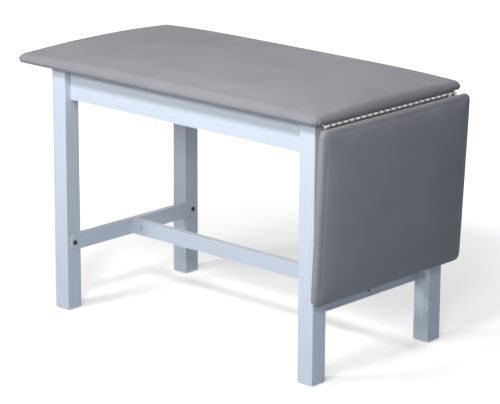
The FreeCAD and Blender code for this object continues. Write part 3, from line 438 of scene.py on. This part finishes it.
def pad_rings(pad, border, sink, tuck, wrap, board):
    """The pad's edge as rings of points, from its face round to its board, and how many are free."""
    x, y = border[:, 0], border[:, 1]
    inner_l = pad.half_l - PAD_CORNER
    inner_w = pad.half_w - PAD_CORNER
    out = np.stack([x - np.clip(x, -inner_l, inner_l), y - np.clip(y, -inner_w, inner_w)], 1)
    out /= np.linalg.norm(out, axis=1)[:, None]
    rings = []
    outer = border + out * pad.edge
    depth = pad.roll * (pad.sunk(outer[:, 0], outer[:, 1], sink) - PAD_LOWER_EDGE)
    for angle in np.linspace(0, math.pi / 2, ROLL_STEPS + 1)[1:]:
        spot = border + out * (pad.edge + pad.lean - tuck) * math.sin(angle)
        height = pad.sunk(spot[:, 0], spot[:, 1], sink) - depth * (1 - math.cos(angle))
        rings.append((spot, height))
    side_top = rings[-1][1]
    for share in np.linspace(0, 1, SIDE_STEPS + 1)[1:]:
        spot = border + out * (pad.edge + pad.lean * (1 - share) - tuck)
        rings.append((spot, side_top + share * (PAD_LOWER_EDGE - side_top)))
    free = len(rings)
    for angle in np.linspace(0, math.pi / 2, LOWER_STEPS + 1)[1:]:
        reach = pad.edge - tuck - (PAD_LOWER_EDGE - tuck) * (1 - math.cos(angle))
        height = np.full(len(border), PAD_LOWER_EDGE * (1 - math.sin(angle)))
        rings.append((border + out * reach, height))
    inside = border + out * (pad.edge - wrap)
    rings.append((inside, np.zeros(len(border))))
    rings.append((inside, np.full(len(border), board)))
    return rings, free


def pad_mesh(name, pad, sink, tuck, wrap, board):
    """A closed pad: face, rolled edge, side, lower edge, wrap to the board and hidden inner face."""
    half_l = pad.half_l - pad.edge
    half_w = pad.half_w - pad.edge
    radius = PAD_CORNER - pad.edge
    lines_x = grid_lines(half_l, radius)
    lines_y = grid_lines(half_w, radius)
    x, y = np.meshgrid(lines_x, lines_y, indexing="ij")
    x, y = round_corners(x, y, half_l, half_w, radius)
    rows, columns = x.shape
    number = np.arange(rows * columns).reshape(rows, columns)
    around = np.concatenate([number[:-1, 0], number[-1, :-1], number[:0:-1, -1], number[0, :0:-1]])
    points = np.stack([x.ravel(), y.ravel(), pad.sunk(x, y, sink).ravel()], 1)
    rings, free = pad_rings(pad, points[around, :2], sink, tuck, wrap, board)
    faces = [
        (number[i, j], number[i + 1, j], number[i + 1, j + 1], number[i, j + 1])
        for i in range(rows - 1)
        for j in range(columns - 1)
    ]
    parts = [points]
    last = around
    count = len(points)
    for spot, height in rings:
        ring = count + np.arange(len(around))
        parts.append(np.column_stack([spot, height]))
        following = np.roll(ring, -1)
        before = np.roll(last, -1)
        faces += list(zip(last, ring, following, before))
        last = ring
        count += len(ring)
    held_from = len(points) + free * len(around)
    under = number.copy()
    under[1:-1, 1:-1] = count + np.arange((rows - 2) * (columns - 2)).reshape(rows - 2, columns - 2)
    under.flat[around] = last
    inner = points.reshape(rows, columns, 3)[1:-1, 1:-1].reshape(-1, 3).copy()
    inner[:, 2] = board
    parts.append(inner)
    faces += [
        (under[i, j], under[i, j + 1], under[i + 1, j + 1], under[i + 1, j])
        for i in range(rows - 1)
        for j in range(columns - 1)
    ]
    mesh = bpy.data.meshes.new(name)
    mesh.from_pydata(np.concatenate(parts).tolist(), [], [tuple(int(k) for k in face) for face in faces])
    mesh.update()
    return mesh, held_from


def mesh_points(mesh):
    """A mesh's points as an array."""
    points = np.zeros(len(mesh.vertices) * 3)
    mesh.vertices.foreach_get("co", points)
    return points.reshape(-1, 3)


def set_points(mesh, points):
    """Moves a mesh's points."""
    mesh.vertices.foreach_set("co", points.ravel())
    mesh.update()


def mesh_normals(mesh):
    """The normals at a mesh's points."""
    normals = np.zeros(len(mesh.vertices) * 3)
    mesh.vertices.foreach_get("normal", normals)
    return normals.reshape(-1, 3)


def even_out(mesh, values, passes):
    """Values at a mesh's points, averaged with their neighbours."""
    ends = np.zeros(len(mesh.edges) * 2, int)
    mesh.edges.foreach_get("vertices", ends)
    a, b = ends.reshape(-1, 2).T
    neighbours = np.bincount(a, minlength=len(values)) + np.bincount(b, minlength=len(values))
    for _ in range(passes):
        total = np.bincount(a, values[b], len(values)) + np.bincount(b, values[a], len(values))
        values = (values + total / neighbours) / 2
    return values


def swell(piece, held_from):
    """Fills the pad by cloth under pressure, held at its board, and limits how far it moves."""
    held = piece.vertex_groups.new(name="held")
    held.add(list(range(held_from, len(piece.data.vertices))), 1.0, "REPLACE")
    cloth = piece.modifiers.new("filling", "CLOTH")
    for key, value in CLOTH_SETTINGS.items():
        setattr(cloth.settings, key, value)
    cloth.settings.vertex_group_mass = held.name
    cloth.settings.effector_weights.gravity = 0
    cloth.collision_settings.use_collision = False
    cloth.point_cache.frame_end = CLOTH_FRAMES
    for step in range(1, CLOTH_FRAMES + 1):
        bpy.context.scene.frame_set(step)
    graph = bpy.context.evaluated_depsgraph_get()
    moved = mesh_points(piece.evaluated_get(graph).data)
    piece.modifiers.clear()
    piece.vertex_groups.clear()
    bpy.context.scene.frame_set(1)
    start = mesh_points(piece.data)
    normals = mesh_normals(piece.data)
    rise = MOST_SWELL * np.tanh(((moved - start) * normals).sum(1) / MOST_SWELL)
    rise = even_out(piece.data, np.maximum(rise, 0), EVEN_PASSES)
    rise[held_from:] = 0
    set_points(piece.data, start + normals * rise[:, None])


def work_in(piece):
    """Applies the piece's modifiers."""
    graph = bpy.context.evaluated_depsgraph_get()
    mesh = bpy.data.meshes.new_from_object(piece.evaluated_get(graph))
    old = piece.data
    piece.modifiers.clear()
    piece.data = mesh
    bpy.data.meshes.remove(old)


def refine_corners(piece, pad):
    """Divides the pad's faces once more where the pleats are."""
    shape = bmesh.new()
    shape.from_mesh(piece.data)
    near_l = pad.half_l - PLEAT_REACH
    near_w = pad.half_w - PLEAT_REACH
    edges = [
        edge
        for edge in shape.edges
        if all(abs(v.co.x) > near_l and abs(v.co.y) > near_w for v in edge.verts)
    ]
    bmesh.ops.subdivide_edges(shape, edges=edges, cuts=1, use_grid_fill=True)
    shape.to_mesh(piece.data)
    shape.free()
    piece.data.update()


def pleat_corners(piece, pad):
    """Folds the cover at each corner: narrow grooves, each with a lapped ridge, deeper towards the board."""
    mesh = piece.data
    points = mesh_points(mesh)
    normals = mesh_normals(mesh)
    past_l = np.abs(points[:, 0]) - (pad.half_l - PAD_CORNER)
    past_w = np.abs(points[:, 1]) - (pad.half_w - PAD_CORNER)
    turn = np.arctan2(np.maximum(past_w, 0), np.maximum(past_l, 1e-9)) - math.pi / 4
    along = PAD_CORNER * turn - np.minimum(past_l, 0) + np.minimum(past_w, 0)
    beyond = np.hypot(np.maximum(past_l, 0), np.maximum(past_w, 0)) / PAD_CORNER
    fade_out = np.clip((beyond - FADE_OUT_FROM) / FADE_OUT_OVER, 0, 1)
    below = pad.face(points[:, 0], points[:, 1]) - points[:, 2]
    fade_down = np.clip((below + FADE_DOWN_FROM) / FADE_DOWN_OVER, 0, 1) ** FADE_DOWN_POWER
    side = np.sign(points[:, 0] * points[:, 1])
    fold = np.zeros(len(points))
    for place in PLEAT_PLACES:
        across = along * side - place
        fold -= PLEAT_DEPTH * np.exp(-((across / PLEAT_WIDTH) ** 2))
        from_ridge = (across - RIDGE_ASIDE * PLEAT_WIDTH) / (RIDGE_WIDTH * PLEAT_WIDTH)
        fold += PLEAT_RIDGE * np.exp(-(from_ridge**2))
    at_corner = (past_l > PAD_CORNER - PLEAT_REACH) & (past_w > PAD_CORNER - PLEAT_REACH)
    outside = points[:, 2] > PAD_LOWER_EDGE * PLEAT_BOTTOM
    amount = fold * fade_out * fade_down * at_corner * outside
    set_points(mesh, points + normals * amount[:, None])


def make_pad(name, node, body, place, pad, board_node, vinyl):
    """A swollen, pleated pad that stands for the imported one."""
    board_low, board_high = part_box(board_node)
    wrap = pad.half_w - (board_high.y - board_low.y) / 2 - BOARD_ROOM
    board = BOARD_DEPTH + BOARD_ROOM
    sink, tuck = ((START_SINK, START_TUCK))
    mesh, held_from = pad_mesh(name, pad, sink, tuck, wrap, board)
    piece = bpy.data.objects.new(name, mesh)
    bpy.context.scene.collection.objects.link(piece)
    swell(piece, held_from)
    piece.modifiers.new("finer", "SUBSURF")
    work_in(piece)
    refine_corners(piece, pad)
    pleat_corners(piece, pad)
    piece.data.transform(place)
    piece.data.polygons.foreach_set("use_smooth", [True] * len(piece.data.polygons))
    piece.data.materials.clear()
    piece.data.materials.append(vinyl)
    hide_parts(node)
    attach(piece, body)


def leaf_turn():
    """The turn that raises the leaf level, about its hinge."""
    hinge = next(joint for joint in frame["joints"] if joint["name"] == "leaf_hinge")
    pivot = Matrix.Translation(hinge["pos_m"])
    turn = Matrix.Rotation(math.radians(hinge["range_deg"][1]), 4, Vector(hinge["axis"]))
    return pivot @ turn @ pivot.inverted()


def node_box(node, matrix):
    """Lowest and highest corners of a node turned by a matrix."""
    points = np.array([matrix @ v.co for v in frame["nodes"][node].data.vertices])
    return Vector(points.min(0)), Vector(points.max(0))


def under_middle(low, high):
    """The place under the middle of a box."""
    return Matrix.Translation(((low.x + high.x) / 2, (low.y + high.y) / 2, low.z))


def make_pads(vinyl):
    """The pads of the fixed top and of the leaf."""
    low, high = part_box("main_pad")
    main = Pad(*(high - low), **MAIN_SHAPE)
    make_pad("main_cover", "main_pad", "table", under_middle(low, high), main, "main_board", vinyl)
    raise_leaf = leaf_turn()
    low, high = node_box("leaf_pad", raise_leaf)
    leaf = Pad(*(high - low), **LEAF_SHAPE)
    hang = raise_leaf.inverted() @ under_middle(low, high)
    make_pad("leaf_cover", "leaf_pad", "leaf", hang, leaf, "leaf_board", vinyl)


def seen_directly(tree):
    """1 for the rays of the camera, of gloss and through glass, and 0 for the light's own."""
    path = add_node(tree, "ShaderNodeLightPath")
    first = add_node(tree, "ShaderNodeMath", {"operation": "MAXIMUM"})
    tree.links.new(path.outputs["Is Camera Ray"], first.inputs[0])
    tree.links.new(path.outputs["Is Glossy Ray"], first.inputs[1])
    both = add_node(tree, "ShaderNodeMath", {"operation": "MAXIMUM"})
    tree.links.new(first.outputs["Value"], both.inputs[0])
    tree.links.new(path.outputs["Is Transmission Ray"], both.inputs[1])
    return both.outputs["Value"]


def make_world():
    """White to look at, and a dim, cool light on the object."""
    world = bpy.data.worlds.new("studio")
    bpy.context.scene.world = world
    world.use_nodes = True
    tree = world.node_tree
    soft = tree.nodes["Background"]
    soft.inputs["Color"].default_value = (*AMBIENT_COLOUR, 1)
    soft.inputs["Strength"].default_value = AMBIENT
    seen = add_node(tree, "ShaderNodeBackground", Color=(*WHITE, 1), Strength=1.0)
    mix = add_node(tree, "ShaderNodeMixShader")
    tree.links.new(seen_directly(tree), mix.inputs["Fac"])
    tree.links.new(soft.outputs["Background"], mix.inputs[1])
    tree.links.new(seen.outputs["Background"], mix.inputs[2])
    tree.links.new(mix.outputs["Shader"], tree.nodes["World Output"].inputs["Surface"])


def make_floor():
    """A wide floor, white far from the object, that keeps its shadow near it and throws back cool light."""
    mesh = bpy.data.meshes.new("floor")
    corners = [(-1, -1), (1, -1), (1, 1), (-1, 1)]
    mesh.from_pydata([(x * FLOOR_REACH, y * FLOOR_REACH, cad_low.z) for x, y in corners], [], [(0, 1, 2, 3)])
    floor = bpy.data.objects.new("floor", mesh)
    bpy.context.scene.collection.objects.link(floor)
    material = bpy.data.materials.new("white_floor")
    material.use_nodes = True
    tree = material.node_tree
    tree.nodes.remove(tree.nodes["Principled BSDF"])
    matt = add_node(tree, "ShaderNodeBsdfDiffuse", Color=(*FLOOR_MATT, 1))
    bounce = add_node(tree, "ShaderNodeBsdfDiffuse", Color=(*FLOOR_BOUNCE, 1))
    bright = add_node(tree, "ShaderNodeEmission", Color=(*FLOOR_SHADE, 1))
    away = add_node(tree, "ShaderNodeVectorMath", {"operation": "LENGTH"})
    tree.links.new(place_texture(tree), away.inputs[0])
    even = add_range(tree, away.outputs["Value"], FLOOR_EVEN, 1.0, FLOOR_EVEN_FROM, FLOOR_EVEN_TO)
    tree.links.new(even, bright.inputs["Strength"])
    shown = add_node(tree, "ShaderNodeAddShader")
    tree.links.new(matt.outputs["BSDF"], shown.inputs[0])
    tree.links.new(bright.outputs["Emission"], shown.inputs[1])
    mix = add_node(tree, "ShaderNodeMixShader")
    tree.links.new(seen_directly(tree), mix.inputs["Fac"])
    tree.links.new(bounce.outputs["BSDF"], mix.inputs[1])
    tree.links.new(shown.outputs["Shader"], mix.inputs[2])
    tree.links.new(mix.outputs["Shader"], tree.nodes["Material Output"].inputs["Surface"])
    mesh.materials.append(material)


def add_softbox(name, place, aim, size, power, colour):
    """A soft rectangular lamp that looks at a point."""
    lamp = bpy.data.lights.new(name, "AREA")
    lamp.shape = "RECTANGLE"
    lamp.size, lamp.size_y = size
    lamp.energy = power
    lamp.color = colour
    holder = bpy.data.objects.new(name, lamp)
    bpy.context.scene.collection.objects.link(holder)
    holder.location = place
    holder.rotation_mode = "QUATERNION"
    holder.rotation_quaternion = (Vector(aim) - Vector(place)).to_track_quat("-Z", "Y")


def make_lights():
    """Soft boxes: two low and two high along the front, and one above the back."""
    for name, (place, size, power, colour) in SOFTBOXES.items():
        add_softbox(name, place, LIGHT_AIM, size, power, colour)


def make_camera():
    """The camera at the photographed angle."""
    yaw, pitch, roll = (math.radians(angle) for angle in (CAMERA_YAW, CAMERA_PITCH, CAMERA_ROLL))
    ahead = Vector((-math.sin(yaw) * math.cos(pitch), math.cos(yaw) * math.cos(pitch), -math.sin(pitch)))
    right = Vector((math.cos(yaw), math.sin(yaw), 0))
    up = right.cross(ahead)
    turned_right = right * math.cos(roll) + up * math.sin(roll)
    turned_up = up * math.cos(roll) - right * math.sin(roll)
    data = bpy.data.cameras.new("camera")
    data.sensor_fit = "HORIZONTAL"
    data.sensor_width = SENSOR_WIDTH
    data.lens = CAMERA_LENS
    data.clip_end = CAMERA_CLIP
    camera = bpy.data.objects.new("camera", data)
    bpy.context.scene.collection.objects.link(camera)
    axes = Matrix((turned_right, turned_up, -ahead)).transposed()
    camera.matrix_world = Matrix.Translation(CAMERA_PLACE) @ axes.to_4x4()
    bpy.context.scene.camera = camera


bpy.context.scene.view_settings.view_transform = "Standard"
vinyl_material = make_vinyl()
dress_nodes(vinyl_material)
make_pads(vinyl_material)
make_world()
make_floor()
make_lights()
make_camera()
